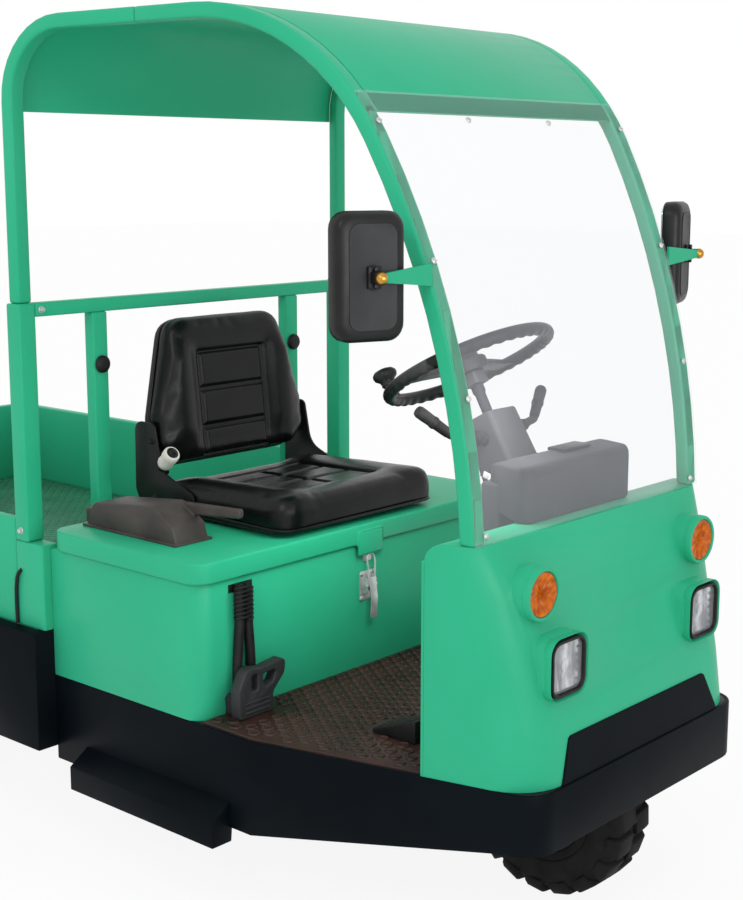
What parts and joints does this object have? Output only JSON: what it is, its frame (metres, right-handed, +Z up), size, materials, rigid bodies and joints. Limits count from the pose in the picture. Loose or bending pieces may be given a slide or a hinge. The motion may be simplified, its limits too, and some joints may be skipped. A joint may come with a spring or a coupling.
{
  "type": "airport tow tractor",
  "caption": "Three-wheel electric tow tractor with a curved windshield and roof on side hoops, a tip-up seat lid over its battery, and a short walled load bed.",
  "frame": {"origin": "on the ground under the middle of the length and width", "axes": "+X forward, +Y the vehicle's left, +Z up"},
  "size_m": [2.8, 1.1418, 1.7619],
  "materials": {
    "green_paint": "gloss",
    "black_paint": "satin",
    "bed_paint": "satin",
    "dark_steel": "satin",
    "spring_steel": "matte",
    "bright_steel": "polished",
    "floor_mat": "matte",
    "rubber": "matte",
    "tyre": "matte",
    "dark_plastic": "matte",
    "vinyl": "satin",
    "clear_glass": "clear",
    "lamp_lens": "clear",
    "amber_lens": "gloss",
    "red_lens": "gloss",
    "mirror": "polished",
    "battery_case": "matte"
  },
  "bodies": {
    "chassis": {"chassis_band": "black_paint", "floor_plate": "dark_steel", "floor_mat": "floor_mat", "wheel_house": "dark_steel", "nose_cowl": "green_paint", "nose_patch": "black_paint", "bulkhead": "dark_steel", "dash": "dark_plastic", "steering_column": "dark_plastic", "pedals": "rubber", "seat_box": "green_paint", "battery": "battery_case", "battery_plug": "dark_plastic", "battery_leads": "rubber", "lid_latch": "bright_steel", "guard_posts": "green_paint", "guard_bar": "green_paint", "guard_uprights": "green_paint", "lid_buffers": "rubber", "front_hoops": "green_paint", "rear_hoops": "green_paint", "roof": "green_paint", "windshield": "clear_glass", "mirror_arms": "green_paint", "mirror_housings": "dark_plastic", "mirror_glass": "mirror", "headlamps": "dark_plastic", "headlamp_lenses": "lamp_lens", "indicators": "amber_lens", "steps": "black_paint", "rear_skirt": "black_paint", "chassis_rails": "black_paint", "bed_floor": "bed_paint", "bed_plate": "bed_paint", "bed_walls": "green_paint", "bed_corners": "green_paint", "tailgate": "green_paint", "tow_hitch": "dark_steel", "rear_lamps": "red_lens", "rear_axle": "dark_steel", "leaf_springs": "spring_steel"},
    "steer_fork": {"steer_fork": "dark_steel"},
    "front_wheel": {"front_tyre": "tyre", "front_rim": "dark_steel"},
    "rear_wheel_r": {"rear_tyre_r": "tyre", "rear_rim_r": "dark_steel"},
    "rear_wheel_l": {"rear_tyre_l": "tyre", "rear_rim_l": "dark_steel"},
    "steering_wheel": {"steering_wheel": "dark_plastic"},
    "seat_lid": {"seat_lid": "green_paint", "seat_base": "dark_plastic", "seat_cushion": "vinyl", "seat_back": "vinyl", "seat_brackets": "dark_steel", "hand_brake": "dark_plastic"}
  },
  "joints": [
    {"name": "steer", "type": "hinge", "parent": "chassis", "child": "steer_fork", "pos_m": [1.218, 0, 0.5], "axis": [0, 0, 1], "range_deg": [-75, 75]},
    {"name": "front_wheel_spin", "type": "hinge", "parent": "steer_fork", "child": "front_wheel", "pos_m": [1.186, 0, 0.2], "axis": [0, 1, 0], "continuous": true},
    {"name": "rear_wheel_r_spin", "type": "hinge", "parent": "chassis", "child": "rear_wheel_r", "pos_m": [-0.484, -0.45, 0.2], "axis": [0, 1, 0], "continuous": true},
    {"name": "rear_wheel_l_spin", "type": "hinge", "parent": "chassis", "child": "rear_wheel_l", "pos_m": [-0.484, 0.45, 0.2], "axis": [0, 1, 0], "continuous": true},
    {"name": "steering_wheel_turn", "type": "hinge", "parent": "chassis", "child": "steering_wheel", "pos_m": [0.953, 0, 1.058], "axis": [-0.4848, 0, 0.8746], "range_deg": [-540, 540]},
    {"name": "seat_lid_tip", "type": "hinge", "parent": "chassis", "child": "seat_lid", "pos_m": [0.189, 0, 0.655], "axis": [0, -1, 0], "range_deg": [0, 88]}
  ],
  "couplings": [
    {"joint": "steering_wheel_turn", "follows": "steer", "ratio": 7.2}
  ]
}
